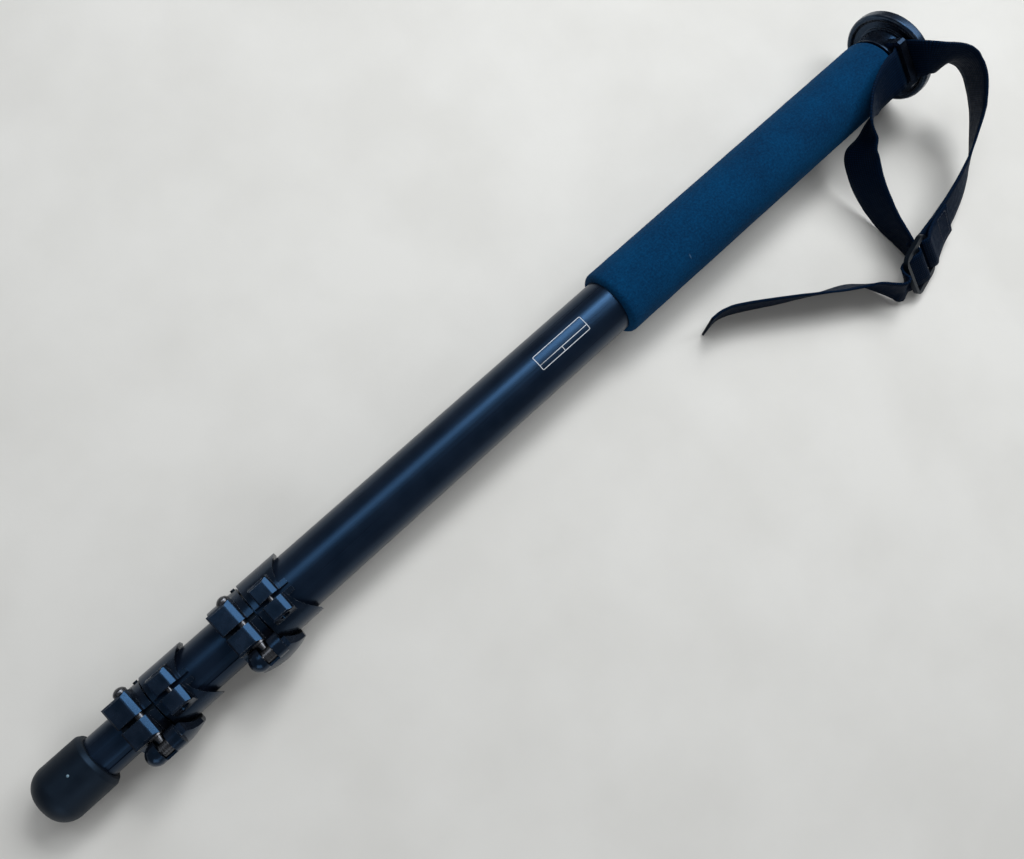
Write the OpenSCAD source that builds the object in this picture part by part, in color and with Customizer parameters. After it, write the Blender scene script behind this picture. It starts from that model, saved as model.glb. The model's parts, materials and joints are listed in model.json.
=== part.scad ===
// Camera monopod: three telescoping tubes with flip locks, folded and lying on its side.
// The long axis is X and +X points out of the camera platform. The slots of the locks face +Z.
// The origin is the centre of the camera platform, and all sizes are in millimetres.

/* [Tubes] */
// Outside diameter of the upper tube
upper_tube_d = 34; // [30:0.5:40]
// Length of the upper tube
upper_tube_length = 507.5; // [420:0.5:600]
// Wall of every tube
tube_wall = 1.5; // [1.2:0.1:2]
// Radial gap between the bore of a tube and the next tube inside it
tube_gap = 1; // [0.7:0.1:2]
// Length of the middle tube that shows between the locks
middle_gap = 19.6; // [8:0.2:40]
// Length of the lower tube that shows above the foot
lower_gap = 18.4; // [8:0.2:40]
// How far the lower tube ends below the top of the middle tube
lower_drop = 72; // [60:1:120]
// Length of the guide sleeve at the top of each inner tube
guide_length = 15; // [8:1:25]
// Width of the groove that keeps each inner tube from turning
groove_w = 3; // [2:0.2:4]
// Depth of that groove
groove_depth = 0.6; // [0.5:0.05:0.8]

/* [Head] */
// Diameter of the camera plate
plate_d = 61; // [50:0.5:72]
// Thickness of the camera plate
plate_t = 6.5; // [5:0.1:9]
// Thickness of the rubber pad on the plate
pad_t = 1.2; // [0.8:0.1:2]
// Width of the bare rim round the pad
pad_margin = 2; // [1:0.1:4]
// Depth of the dish in the back of the plate
dish_depth = 1.6; // [0.8:0.1:2.4]
// Width of the plate's rim round the dish
dish_rim = 3.2; // [2:0.1:5]
// Length of the hub between the plate and the upper tube
hub_length = 12.5; // [11.5:0.1:18]
// How far the hub stands proud of the upper tube
hub_step = 3.5; // [2.5:0.1:5]
// Length of the hub's spigot inside the upper tube
spigot_length = 14; // [8:0.5:25]
// Diameter of the stud's thread that a camera takes
stud_d = 6.35; // [6:0.05:9.6]
// Length of that thread outside the plate
stud_length = 5.6; // [4:0.1:9]
// Diameter of the stud's other end, inside the hub
stud_base_d = 9.525; // [8:0.005:11]
// Diameter of the screws that hold the plate
plate_screw_d = 4; // [3:0.1:5]

/* [Grip] */
// Length of the foam grip
grip_length = 245.2; // [150:0.2:320]
// Wall of the foam grip
grip_wall = 4.3; // [3:0.1:8]
// Radius of the grip's outer end edges
grip_round = 3.8; // [1:0.1:6]

/* [Locks] */
// Wall of the cast collar
collar_wall = 3; // [2:0.1:4]
// Length of the collar on the tube that it is fixed to, to the tips of its side wings
collar_length = 26; // [23:0.2:34]
// Length of the collar at the slot, between the wings
rim_length = 17.6; // [17:0.1:20]
// Length of the clamp below the kerf
clamp_length = 19.6; // [17.5:0.1:26]
// Width of the kerf between collar and clamp
kerf_w = 1; // [0.6:0.1:1.6]
// Width of the slots
slot_w = 2.6; // [2:0.1:3.4]
// Wall of the plastic bush in the clamp
bush_wall = 1.5; // [1.2:0.1:2.5]
// Height of the pads above the tube that the collar is fixed to
pad_rise = 7; // [6.6:0.1:9]
// Half width of the pair of pads
pad_reach = 10.6; // [9.5:0.1:13]
// Length of each pad
pad_length = 12.6; // [9:0.1:13]
// Half width of the clamp on the nut's side
lug_reach = 14.4; // [12.5:0.1:17]
// Half width of the clamp on the lever's side
cam_reach = 12.3; // [11:0.1:15]
// Length of each lug
lug_length = 15; // [13:0.1:16]
// Thickness of the lugs above the bolt's axis
lug_rise = 4.7; // [4.3:0.1:7]
// Diameter of the eye bolt
bolt_d = 5; // [4:0.1:5.6]
// Distance of the bolt from the kerf
bolt_drop = 8.4; // [7.5:0.1:10]
// Diameter of the domed nut
nut_d = 7.4; // [6.6:0.1:9]
// Height of the domed nut
nut_h = 3.8; // [3.4:0.1:6]
// Diameter of the pinch screw
pinch_d = 3; // [2.5:0.1:3.4]

/* [Levers] */
// Radius of the lever's barrel
barrel_r = 6; // [5.6:0.1:7]
// How far the barrel is off centre, which draws the bolt tight
cam_throw = 0.4; // [0.2:0.05:0.8]
// Diameter of the pin that the lever turns on
lever_pin_d = 4; // [3:0.1:4.4]
// Thickness of the lever's paddle
paddle_t = 5; // [3.5:0.1:6.5]
// Length of the paddle above the kerf
paddle_high = 10; // [6:0.1:14]
// How far the paddle reaches round the tube, from the slot, in degrees
paddle_wrap = 132; // [110:1:145]
// Radius of the bulge along the paddle
paddle_bulge = 38; // [32:1:60]

/* [Foot] */
// Length of the rubber foot
foot_length = 34.5; // [32:0.1:55]
// Wall of the rubber foot round the lower tube
foot_wall = 3.9; // [3:0.1:7]
// Depth of the lower tube in the foot
foot_socket = 20; // [12:0.5:26]
// Radius of the foot's bottom edge
foot_round = 11; // [6:0.5:14]
// Length of the plug in the end of the lower tube
plug_length = 16; // [8:0.5:30]

/* [Strap] */
// Width of the webbing
strap_w = 25; // [18:0.5:26]
// Thickness of the webbing
strap_t = 1.4; // [1:0.1:1.8]
// Length of the buckle along the webbing
buckle_length = 26; // [22:0.5:32]
// Width of the buckle's side bars
buckle_side = 3.6; // [2:0.1:5]
// Thickness of the buckle
buckle_t = 3; // [2:0.1:3.4]

/* [Fits] */
// Radial clearance of pieces that slide or turn on each other
run_gap = 0.05; // [0.02:0.01:0.1]
// Radial clearance of pieces that are fixed in each other
seat_gap = 0.02; // [0.01:0.01:0.04]
// Clearance between pieces that only pass each other
free_gap = 0.3; // [0.2:0.05:0.5]

/* [Hidden] */
$fn = 72;
eps = 0.01;
far = 100;

// Radii of the tubes
upper_r = upper_tube_d / 2;
middle_r = upper_r - tube_wall - tube_gap;
lower_r = middle_r - tube_wall - tube_gap;

// Places along the axis
plate_back = -pad_t - plate_t;
tube_top = plate_back - hub_length;
grip_top = tube_top - 0.5;
upper_kerf = tube_top - upper_tube_length - kerf_w / 2;
lower_kerf = upper_kerf - clamp_length - middle_gap - collar_length;
foot_top = lower_kerf - clamp_length - lower_gap;
foot_tip = foot_top - foot_length;
middle_top = tube_top - spigot_length - 2;
middle_end = lower_kerf + kerf_w / 2;
lower_top = middle_top - lower_drop;
lower_end = foot_top - foot_socket;

// Side of the inner tubes that their groove is on, from the slots' side towards the levers
groove_turn = 40;

// Each lock: place of its kerf, radius of the tube that it is fixed to, radius of the tube that slides in it
upper_lock = [upper_kerf, upper_r, middle_r];
lower_lock = [lower_kerf, middle_r, lower_r];
function kerf_x(lock) = lock[0];
function held_r(lock) = lock[1];
function slide_r(lock) = lock[2];
function bush_r(lock) = slide_r(lock) + bush_wall;
function clamp_r(lock) = bush_r(lock) + collar_wall;
function sleeve_r(lock) = held_r(lock) + collar_wall;
function bolt_z(lock) = bush_r(lock) + free_gap + 0.5 + bolt_d / 2;
function lug_z(lock) = bolt_z(lock) + lug_rise;
function pad_z(lock) = held_r(lock) + pad_rise;
function pinch_z(lock) = held_r(lock) + 1.9 + pinch_d / 2;

// Lever, worked out from the clamp that it closes
washer_t = 0.9;
lug_drop = 4.2;
cam_y = -cam_reach - washer_t - free_gap - barrel_r;
hinge_y = cam_y - cam_throw;
barrel_low = clamp_length - barrel_r;
barrel_high = 0.5;
eye_r = lever_pin_d / 2 + 2;
eye_w = bolt_d + 0.6;
eye_slot_w = eye_w + 2 * free_gap;
pin_low = barrel_low + 2.6;
paddle_low = clamp_length - 2;
open_angle = 130;
slot_margin = 47;
paddle_start = 48;
function paddle_in(lock) = max(sleeve_r(lock), clamp_r(lock)) + 2;

// Pinch screw and nut
pinch_x = 3.8 + pad_length / 2;
pinch_seat = pad_reach - 3.2;
pinch_head_d = pinch_d * 1.85;
pinch_nut_d = pinch_d * 2;

// Head
hub_r = upper_r + hub_step;
stud_depth = pad_t + plate_t + 11;
stud_shoulder = -0.4;
plate_screw_ring = stud_base_d / 2 + plate_screw_d / 2 + 6;
plate_screw_length = plate_t + 7;
plate_screw_head_d = plate_screw_d * 1.9;
plate_screw_head_h = plate_screw_d * 0.5;

// Strap bridge on the hub, turned from the slots' side to the levers' side
bridge_turn = 36;
strap_seat = upper_r + 0.8;
strap_mid = strap_seat + free_gap + strap_t / 2;
bridge_under = strap_seat + strap_t + 2 * free_gap + 1;
bridge_t = 3;
bridge_low = tube_top + 3.4;
bridge_high = plate_back - strap_t - 2 * free_gap - 1.6;
post_w = 2.6;

// Surface that the folded monopod lies on, under the plate
rest_z = -plate_d / 2;

// Buckle: its middle, its turn about Z and its lean about the webbing
buckle_at = [-89.5, -111, rest_z + 18.5];
buckle_turn = 194;
buckle_lean = -45;
buckle_gap = 2.6;
buckle_w = strap_w + 2 * buckle_side + buckle_gap;
buckle_bar = 2.6;
buckle_window = (buckle_length - 3 * buckle_bar) / 2;
buckle_pitch = buckle_window + buckle_bar;

// Helpers
module rod_x(r, low, high) {
  translate([low, 0, 0]) rotate([90, 0, 90]) cylinder(r = r, h = high - low);
}

module rod_y(r, low, high) {
  translate([0, low, 0]) rotate([-90, 0, 0]) cylinder(r = r, h = high - low);
}

// Revolves a profile of [radius, x] points about X, from +Y towards +Z
module spin_x(angle = 360) {
  rotate([90, 0, 90]) rotate_extrude(angle = angle) children();
}

// Extrudes a profile of [y, z] points along X
module along_x(low, high) {
  translate([low, 0, 0]) rotate([90, 0, 90]) linear_extrude(high - low) children();
}

// Extrudes a profile of [x, z] points across Y
module across_y() {
  rotate([90, 0, 0]) linear_extrude(2 * far, center = true) children();
}

module round_square(low, high, r) {
  union() {
    translate([low[0] + r, low[1]]) square([high[0] - low[0] - 2 * r, high[1] - low[1]]);
    translate([low[0], low[1] + r]) square([high[0] - low[0], high[1] - low[1] - 2 * r]);
    for (x = [low[0] + r, high[0] - r], y = [low[1] + r, high[1] - r]) translate([x, y]) circle(r = r);
  }
}

// Turns what stands on +Z to the strap bridge's side
module at_bridge() {
  rotate([bridge_turn, 0, 0]) children();
}

module at_buckle() {
  translate(buckle_at) rotate([0, 0, buckle_turn]) rotate([buckle_lean, 0, 0]) children();
}

// Tubes and their guides
module tube(r, low, high) {
  difference() {
    rod_x(r, low, high);
    rod_x(r - tube_wall, low - 1, high + 1);
  }
}

module groove(r, low, high, depth, width) {
  rotate([groove_turn, 0, 0])
    translate([low, -width / 2, r - depth]) cube([high - low, width, depth + 1]);
}

module upper_tube() {
  color([0.06, 0.06, 0.08]) tube(upper_r, tube_top - upper_tube_length, tube_top);
}

module middle_tube() {
  color([0.06, 0.06, 0.08]) difference() {
    tube(middle_r, middle_end, middle_top);
    groove(middle_r, middle_end - 1, middle_top - guide_length, groove_depth, groove_w);
  }
}

module lower_tube() {
  color([0.06, 0.06, 0.08]) difference() {
    tube(lower_r, lower_end, lower_top);
    groove(lower_r, foot_top, lower_top - guide_length, groove_depth, groove_w);
  }
}

module guide(r, top) {
  color([0.2, 0.2, 0.21]) difference() {
    rod_x(r + tube_gap - run_gap, top - guide_length, top);
    rod_x(r + seat_gap, top - guide_length - 1, top + 1);
  }
}

// Head
module camera_plate() {
  color([0.1, 0.1, 0.11]) difference() {
    spin_x() polygon([
      [0, plate_back], [plate_d / 2 - 1.2, plate_back], [plate_d / 2, plate_back + 1.2],
      [plate_d / 2, -pad_t - 0.8], [plate_d / 2 - 0.8, -pad_t], [0, -pad_t]
    ]);
    spin_x() polygon([
      [hub_r + 1, plate_back - 1], [plate_d / 2 - dish_rim, plate_back - 1],
      [plate_d / 2 - dish_rim, plate_back], [plate_d / 2 - dish_rim - dish_depth, plate_back + dish_depth],
      [hub_r + 1, plate_back + dish_depth]
    ]);
    rod_x(stud_base_d / 2 + seat_gap, plate_back - 1, 1);
    plate_screw_spots() {
      rod_x(plate_screw_d / 2 + 0.2, plate_back - 1, 1);
      rod_x(plate_screw_head_d / 2 + 0.2, -pad_t - plate_screw_head_h, 1);
    }
  }
}

module plate_pad() {
  color([0.05, 0.05, 0.05]) difference() {
    rod_x(plate_d / 2 - pad_margin, -pad_t, 0);
    rod_x(stud_base_d / 2 + 0.8, -pad_t - 1, 1);
  }
}

module camera_stud() {
  color([0.72, 0.72, 0.74]) union() {
    rod_x(stud_base_d / 2, -stud_depth, stud_shoulder);
    rod_x(stud_d / 2, stud_shoulder - 1, stud_length);
  }
}

module plate_screw_spots() {
  for (turn = [0, 120, 240]) rotate([turn, 0, 0]) translate([0, 0, plate_screw_ring]) children();
}

module plate_screws() {
  color([0.55, 0.55, 0.57]) plate_screw_spots() union() {
    rod_x(plate_screw_head_d / 2, -pad_t - plate_screw_head_h, -pad_t);
    rod_x(plate_screw_d / 2, -pad_t - plate_screw_length, -pad_t - plate_screw_head_h + eps);
  }
}

module head_hub() {
  color([0.09, 0.09, 0.1]) difference() {
    union() {
      difference() {
        spin_x() hub_profile();
        at_bridge() translate([tube_top - 1, -far, strap_seat]) cube([hub_length + 2, 2 * far, far]);
      }
      strap_bridge();
    }
    rod_x(stud_base_d / 2 + seat_gap, -stud_depth - 0.5, 1);
    plate_screw_spots() rod_x(plate_screw_d / 2 + seat_gap, -pad_t - plate_screw_length - 0.5, 1);
  }
}

// Flange with a waist, then a hollow spigot in the tube
module hub_profile() {
  waist = 1.2;
  waist_r = hub_length;
  difference() {
    union() {
      translate([0, tube_top]) square([hub_r, hub_length]);
      translate([0, tube_top - spigot_length])
        square([upper_r - tube_wall - seat_gap, spigot_length + eps]);
    }
    translate([hub_r + waist_r - waist, tube_top + hub_length / 2]) circle(r = waist_r);
    translate([-1, tube_top - spigot_length - 1]) square([upper_r - tube_wall - 3 + 1, spigot_length - 2]);
  }
}

module strap_bridge() {
  half = strap_w / 2 + 0.6 + post_w;
  at_bridge() difference() {
    translate([bridge_low, 0, 0]) along_x(0, bridge_high - bridge_low) difference() {
      polygon([
        [-half, strap_seat - 7], [-half, bridge_under + bridge_t - 1.6], [-half + 1.6, bridge_under + bridge_t],
        [half - 1.6, bridge_under + bridge_t], [half, bridge_under + bridge_t - 1.6], [half, strap_seat - 7]
      ]);
      translate([-strap_w / 2 - 0.6, strap_seat]) square([strap_w + 1.2, bridge_under - strap_seat]);
    }
    rod_x(upper_r, bridge_low - 1, bridge_high + 1);
  }
}

module foam_grip() {
  low = grip_top - grip_length;
  color([0.05, 0.1, 0.16]) spin_x() intersection() {
    round_square([0, low], [upper_r + grip_wall, grip_top], min(grip_round, grip_wall - 0.3));
    translate([upper_r + seat_gap, low - 1]) square([grip_wall, grip_length + 2]);
  }
}

// Locks
module lock_collar(lock) {
  color([0.08, 0.08, 0.09]) translate([kerf_x(lock), 0, 0]) difference() {
    union() {
      difference() {
        rod_x(sleeve_r(lock), 0, collar_length);
        rim_scoop(lock);
      }
      rim_tabs(lock);
      rod_x(clamp_r(lock), -clamp_length, eps);
      for (side = [0, 1]) mirror([0, side, 0]) pad(lock);
      lug(lock, lug_reach);
      mirror([0, 1, 0]) lug(lock, cam_reach);
    }
    rod_x(held_r(lock) + seat_gap, -kerf_w / 2, collar_length + 1);
    rod_x(bush_r(lock), -clamp_length - 1, 1);
    translate([-clamp_length - 1, -slot_w / 2, 0]) cube([clamp_length + collar_length + 2, slot_w, far]);
    translate([-kerf_w / 2, -far, -sleeve_r(lock) / 3]) cube([kerf_w, 2 * far, 2 * far]);
    translate([-bolt_drop, 0, bolt_z(lock)]) rod_y(bolt_d / 2 + 0.2, -far, far);
    translate([pinch_x, 0, pinch_z(lock)]) {
      rod_y(pinch_d / 2 + 0.1, -far, far);
      rod_y(pinch_head_d / 2 + 0.15, -far, -pinch_seat);
      rotate([0, 0, 180]) mirror([0, 1, 0]) nut_pocket();
    }
    bush_peg(lock, 0.1);
  }
}

module nut_pocket() {
  translate([0, pinch_seat, 0]) rotate([-90, 0, 0]) cylinder(d = pinch_nut_d + 0.2, h = far, $fn = 6);
}

// Hollows the collar's end between its side wings
module rim_scoop(lock) {
  rise = collar_length - rim_length;
  reach = sleeve_r(lock) * 0.95;
  scoop = (rise * rise + reach * reach) / (2 * rise);
  translate([rim_length + scoop, 0, -far]) cylinder(r = scoop, h = 2 * far, $fn = 144);
}

module rim_tabs(lock) {
  intersection() {
    difference() {
      rod_x(held_r(lock) + 2.2, pinch_x, rim_length + 4.4);
      rod_x(held_r(lock) - 1, 0, collar_length);
    }
    translate([0, -4.2, 0]) cube([collar_length, 8.4, far]);
  }
}

// One of the pads beside the slot, chamfered at both ends
module pad(lock) {
  low = 3.8;
  high = low + pad_length;
  top = pad_z(lock);
  foot = sleeve_r(lock) * 0.55;
  intersection() {
    along_x(low, high) polygon([
      [0, foot], [0, top], [pad_reach - 1, top], [pad_reach, top - 1], [pad_reach + 2.4, foot]
    ]);
    across_y() polygon([
      [low, foot], [low, top - 0.8], [low + 0.8, top], [high - 3, top], [high - 1, top - 0.9], [high, top - 2.6],
      [high, foot]
    ]);
  }
}

// One of the lugs that the eye bolt draws together
module lug(lock, reach) {
  low = -clamp_length;
  high = low + lug_length;
  top = lug_z(lock);
  face = bolt_z(lock) - lug_drop;
  root = clamp_r(lock) * 0.35;
  intersection() {
    along_x(low, high) polygon([
      [0, root], [0, top], [reach - 1.2, top], [reach, top - 1.2], [reach, face], [clamp_r(lock) * 0.9, root]
    ]);
    across_y() polygon([
      [low, root], [low, top - 1], [low + 1, top], [high - 3.4, top], [high - 1.1, top - 1], [high, top - 3],
      [high, root]
    ]);
  }
}

// Peg of the bush that shows at the nut's side, just below the kerf
module bush_peg(lock, gap) {
  translate([-2.4, 0, 0]) rotate([-80, 0, 0])
    translate([0, 0, bush_r(lock) - 0.6]) cylinder(r = 1.3 + gap, h = collar_wall + 1.5);
}

module lock_bush(lock) {
  low = -clamp_length + 0.4;
  high = -kerf_w / 2 - 0.2;
  color([0.13, 0.13, 0.14]) translate([kerf_x(lock), 0, 0]) difference() {
    union() {
      difference() {
        union() {
          rod_x(bush_r(lock) - seat_gap, low, high);
          translate([low, -slot_w / 2 + 0.2, slide_r(lock)])
            cube([3, slot_w - 0.4, bush_wall + 3]);
          bush_peg(lock, 0);
        }
        rod_x(slide_r(lock) + run_gap, low - 1, high + 1);
      }
      groove_key(lock, low, high);
    }
    rotate([-40, 0, 0]) translate([low - 1, -0.7, 0]) cube([high - low + 2, 1.4, far]);
  }
}

// Rib of the bush that runs in the tube's groove
module groove_key(lock, low, high) {
  depth = groove_depth / 2;
  rotate([groove_turn, 0, 0]) translate([low, -groove_w / 2 + free_gap, slide_r(lock) - depth])
    cube([high - low, groove_w - 2 * free_gap, depth + bush_wall / 2]);
}

module pinch_screw(lock) {
  color([0.35, 0.35, 0.36]) translate([kerf_x(lock) + pinch_x, 0, pinch_z(lock)]) difference() {
    union() {
      rod_y(pinch_head_d / 2, -pinch_seat - 3, -pinch_seat);
      rod_y(pinch_d / 2, -pinch_seat - eps, pad_reach - 0.4);
    }
    translate([0, -pinch_seat - 4, 0]) rotate([-90, 0, 0]) cylinder(d = pinch_d * 0.96, h = 2.6, $fn = 6);
  }
}

module pinch_nut(lock) {
  color([0.35, 0.35, 0.36]) translate([kerf_x(lock) + pinch_x, 0, pinch_z(lock)]) difference() {
    translate([0, pinch_seat, 0]) rotate([-90, 0, 0]) cylinder(d = pinch_nut_d, h = 2.4, $fn = 6);
    rod_y(pinch_d / 2 + seat_gap, 0, far);
  }
}

module eye_bolt(lock) {
  color([0.35, 0.35, 0.36]) translate([kerf_x(lock) - bolt_drop, 0, bolt_z(lock)]) difference() {
    union() {
      translate([0, hinge_y, 0]) rod_x(eye_r, -eye_w / 2, eye_w / 2);
      rod_y(bolt_d / 2, hinge_y + eye_r / 2, lug_reach + nut_h - 1.4);
    }
    translate([0, hinge_y, 0]) rod_x(lever_pin_d / 2 + seat_gap, -eye_w, eye_w);
  }
}

// Domed nut: a cylinder cut by a sphere
module dome_nut(lock) {
  rim = nut_h * 0.42;
  dome = nut_h - rim;
  dome_r = (nut_d * nut_d / 4 + dome * dome) / (2 * dome);
  color([0.12, 0.12, 0.13])
    translate([kerf_x(lock) - bolt_drop, lug_reach, bolt_z(lock)]) difference() {
      intersection() {
        rod_y(nut_d / 2, 0, nut_h);
        translate([0, nut_h - dome_r, 0]) sphere(r = dome_r);
      }
      rod_y(bolt_d / 2 + seat_gap, -1, nut_h - 1.3);
    }
}

module cam_washer(lock) {
  color([0.3, 0.3, 0.31]) translate([kerf_x(lock) - bolt_drop, -cam_reach, bolt_z(lock)]) difference() {
    rod_y(min(lug_rise, lug_drop) - 0.2, -washer_t, 0);
    rod_y(bolt_d / 2 + 0.1, -washer_t - 1, 1);
  }
}

// Lever: a cam barrel on the hinge and a paddle that follows the tube
module lock_lever(lock) {
  color([0.07, 0.07, 0.08]) translate([kerf_x(lock), 0, 0]) difference() {
    union() {
      paddle(lock);
      translate([0, cam_y, bolt_z(lock)]) {
        rod_x(barrel_r, -barrel_low, barrel_high);
        translate([-barrel_low, 0, 0]) sphere(r = barrel_r);
      }
    }
    translate([0, hinge_y, bolt_z(lock)]) {
      rod_x(lever_pin_d / 2 + run_gap, -pin_low, barrel_high + 1);
      eye_slot();
    }
  }
}

module paddle(lock) {
  inner = paddle_in(lock);
  outer = inner + paddle_t;
  middle = (paddle_high - paddle_low) / 2;
  intersection() {
    rotate([90 + paddle_start, 0, 0]) paddle_band(inner, outer, middle);
    across_y() paddle_outline(outer);
  }
}

// Sector of a bulging sleeve, starting on +Y
module paddle_band(inner, outer, middle) {
  spin_x(paddle_wrap - paddle_start) intersection() {
    translate([inner, -paddle_low]) square([paddle_t, paddle_low + paddle_high]);
    translate([outer - paddle_bulge, middle]) circle(r = paddle_bulge, $fn = 180);
  }
}

// Side view of the paddle: rounded at the bottom, and lower beside the barrel
module paddle_outline(outer) {
  bottom = outer * cos(paddle_wrap);
  corner = 8;
  union() {
    round_square([-paddle_low, bottom], [paddle_high, 4], corner);
    polygon([
      [-paddle_low, bottom + corner], [paddle_high, bottom + corner], [paddle_high, 2], [barrel_high + 2, 13],
      [barrel_high, 13], [barrel_high, far], [-paddle_low, far]
    ]);
  }
}

// Room for the eye and shank of the bolt as the lever opens
module eye_slot() {
  translate([-bolt_drop, 0, 0]) {
    rod_x(eye_r + free_gap, -eye_slot_w / 2, eye_slot_w / 2);
    rotate([-slot_margin, 0, 0]) spin_x(open_angle + 2 * slot_margin)
      translate([0, -eye_slot_w / 2]) square([barrel_r + cam_throw + 3, eye_slot_w]);
  }
}

module lever_pin(lock) {
  color([0.65, 0.65, 0.67]) translate([kerf_x(lock), hinge_y, bolt_z(lock)])
    rod_x(lever_pin_d / 2, -pin_low + free_gap, barrel_high - 0.2);
}

// Foot
module rubber_foot() {
  outer = lower_r + foot_wall;
  corner = min(foot_round, outer - 2);
  color([0.05, 0.05, 0.05]) difference() {
    spin_x() difference() {
      union() {
        translate([0, foot_tip + corner]) square([outer, foot_length - corner - 2.4]);
        translate([0, foot_tip]) square([outer - corner, corner + 1]);
        translate([outer - corner, foot_tip + corner]) circle(r = corner);
        polygon([
          [0, foot_top - 2.5], [outer, foot_top - 2.5], [outer, foot_top - 2.4],
          [outer - 1.6, foot_top], [0, foot_top]
        ]);
      }
      translate([-far, foot_tip - 1]) square([far, foot_length + 2]);
    }
    rod_x(lower_r + seat_gap, lower_end - 0.4, foot_top + 1);
  }
}

module foot_plug() {
  color([0.2, 0.2, 0.21]) rod_x(lower_r - tube_wall - seat_gap, lower_end, lower_end + plug_length);
}

// Strap: each stop of a route is the middle of the webbing and the direction of its width
function on_bridge(x, height) = [x, -height * sin(bridge_turn), height * cos(bridge_turn)];
bridge_width = [0, -cos(bridge_turn), -sin(bridge_turn)];
function on_buckle(along, up, side = 0) = buckle_at + side * buckle_width + [
  along * cos(buckle_turn) + up * sin(buckle_lean) * sin(buckle_turn),
  along * sin(buckle_turn) - up * sin(buckle_lean) * cos(buckle_turn),
  up * cos(buckle_lean)
];
buckle_width = [
  -sin(buckle_turn) * cos(buckle_lean), cos(buckle_turn) * cos(buckle_lean), sin(buckle_lean)
];
bar_out = norm([buckle_bar, buckle_t]) / 2 + strap_t / 2 + 2 * free_gap;
strap_over = upper_r + grip_wall + strap_t / 2 + 2 * free_gap;

// From the tip, through the buckle, up the grip's side and back to the bridge
long_route = [
  [[-223, -48.5, rest_z + 16.6], [0.05, -0.1, -1]],
  [[-205, -50.5, rest_z + 16.3], [0.05, 0.05, -1]],
  [[-169, -71, rest_z + 15.4], [0, 0.2, -0.95]],
  [[-146, -84.5, rest_z + 14.6], [0, 0.36, -0.93]],
  [[-124, -97, rest_z + 14], [0.05, 0.4, -0.9]],
  [on_buckle(buckle_pitch + 10, -2), [0.15, -0.15, -1]],
  [on_buckle(buckle_pitch, -bar_out), buckle_width],
  [on_buckle(0, bar_out), buckle_width],
  [on_buckle(-buckle_pitch / 2 + 0.4, -3, 0.5), buckle_width],
  [on_buckle(-buckle_pitch / 2 - 0.6, -6, 1), [0.2, -0.55, -0.8]],
  [[-82, -92, rest_z + 14], [0.2, 0, -1]],
  [[-80.5, -75, rest_z + 15.2], [0, 0.2, -1]],
  [[-78, -58, -11], [-0.15, 0.35, -0.93]],
  [[-75, -45.5, -6], [-0.2, 0.45, -0.85]],
  [[-71, -35, 0.5], [-0.2, 0.45, -0.87]],
  [[-62, -28.6, 6], [0.28, 0.16, -0.92]],
  [[-55.5, -21.5, 14.2], [0.5, -0.25, -0.83]],
  [[-48, -17, 17.8], [0.25, -0.5, -0.82]],
  [[-37, -14.2, 18.6], [0.05, -0.68, -0.73]],
  [on_bridge(tube_top - 7, strap_over), bridge_width],
  [on_bridge(tube_top - 2, strap_over), bridge_width],
  [on_bridge(bridge_low, strap_mid + 0.6), bridge_width],
  [on_bridge(bridge_low + 2 - free_gap, strap_mid), bridge_width]
];

// From the bridge, out past the plate's rim and round to the buckle's first bar, where the end is sewn back
short_route = [
  [on_bridge(bridge_low + 2, strap_mid), bridge_width],
  [on_bridge(bridge_high - 0.4, strap_mid + 0.1), bridge_width],
  [on_bridge(plate_back - 1.6, strap_mid + 2), bridge_width],
  [on_bridge(plate_back - 1.6, strap_mid + 7), bridge_width],
  [[-9, -20, 27.2], [0.15, -0.62, -0.78]],
  [[-5, -26.5, 29.8], [0.35, -0.37, -0.86]],
  [[1, -29.4, 28.4], [0.5, -0.1, -0.86]],
  [[8, -32, 25.5], [0.5, 0, -0.87]],
  [[13.5, -36, 22], [0.35, 0.1, -0.93]],
  [[17, -41.5, 18.5], [0.22, 0.22, -0.95]],
  [[17.5, -48, 14.7], [0.25, 0.35, -0.9]],
  [[15, -55.5, 10], [0.38, 0.42, -0.82]],
  [[10, -65.5, 3], [0.45, 0.24, -0.86]],
  [[1, -75, -3], [0.45, 0, -0.9]],
  [[-10, -84, -7.3], [0.42, -0.22, -0.88]],
  [[-26.5, -93, -11.5], [0.3, -0.46, -0.83]],
  [[-44, -99, -13.7], [0.23, -0.58, -0.79]],
  [[-61, -103, rest_z + 16.6], [0.2, -0.66, -0.73]],
  [on_buckle(-buckle_pitch - 5, 0.6 - bar_out), buckle_width],
  [on_buckle(-buckle_pitch, -bar_out), buckle_width],
  [on_buckle(-buckle_pitch + bar_out, 0), buckle_width],
  [on_buckle(-buckle_pitch, bar_out), buckle_width],
  [on_buckle(-buckle_pitch - 6, bar_out - 1.6), buckle_width],
  [[-61, -104.4, rest_z + 18.1], [0.2, -0.66, -0.73]],
  [[-50, -102.2, rest_z + 18.5], [0.2, -0.62, -0.76]]
];

function unit(v) = v / norm(v);
function spline(a, b, c, d, t) =
  0.5 * (2 * b + (c - a) * t + (2 * a - 5 * b + 4 * c - d) * t * t + (3 * b - a - 3 * c + d) * t * t * t);
function stop(list, i, k) = list[min(max(i, 0), len(list) - 1)][k];
function blend(list, i, t, k) =
  spline(stop(list, i - 1, k), stop(list, i, k), stop(list, i + 1, k), stop(list, i + 2, k), t);
steps = 4;
function rail(list, k) = concat(
  [for (i = [0 : len(list) - 2], j = [0 : steps - 1]) blend(list, i, j / steps, k)],
  [list[len(list) - 1][k]]
);

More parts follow.
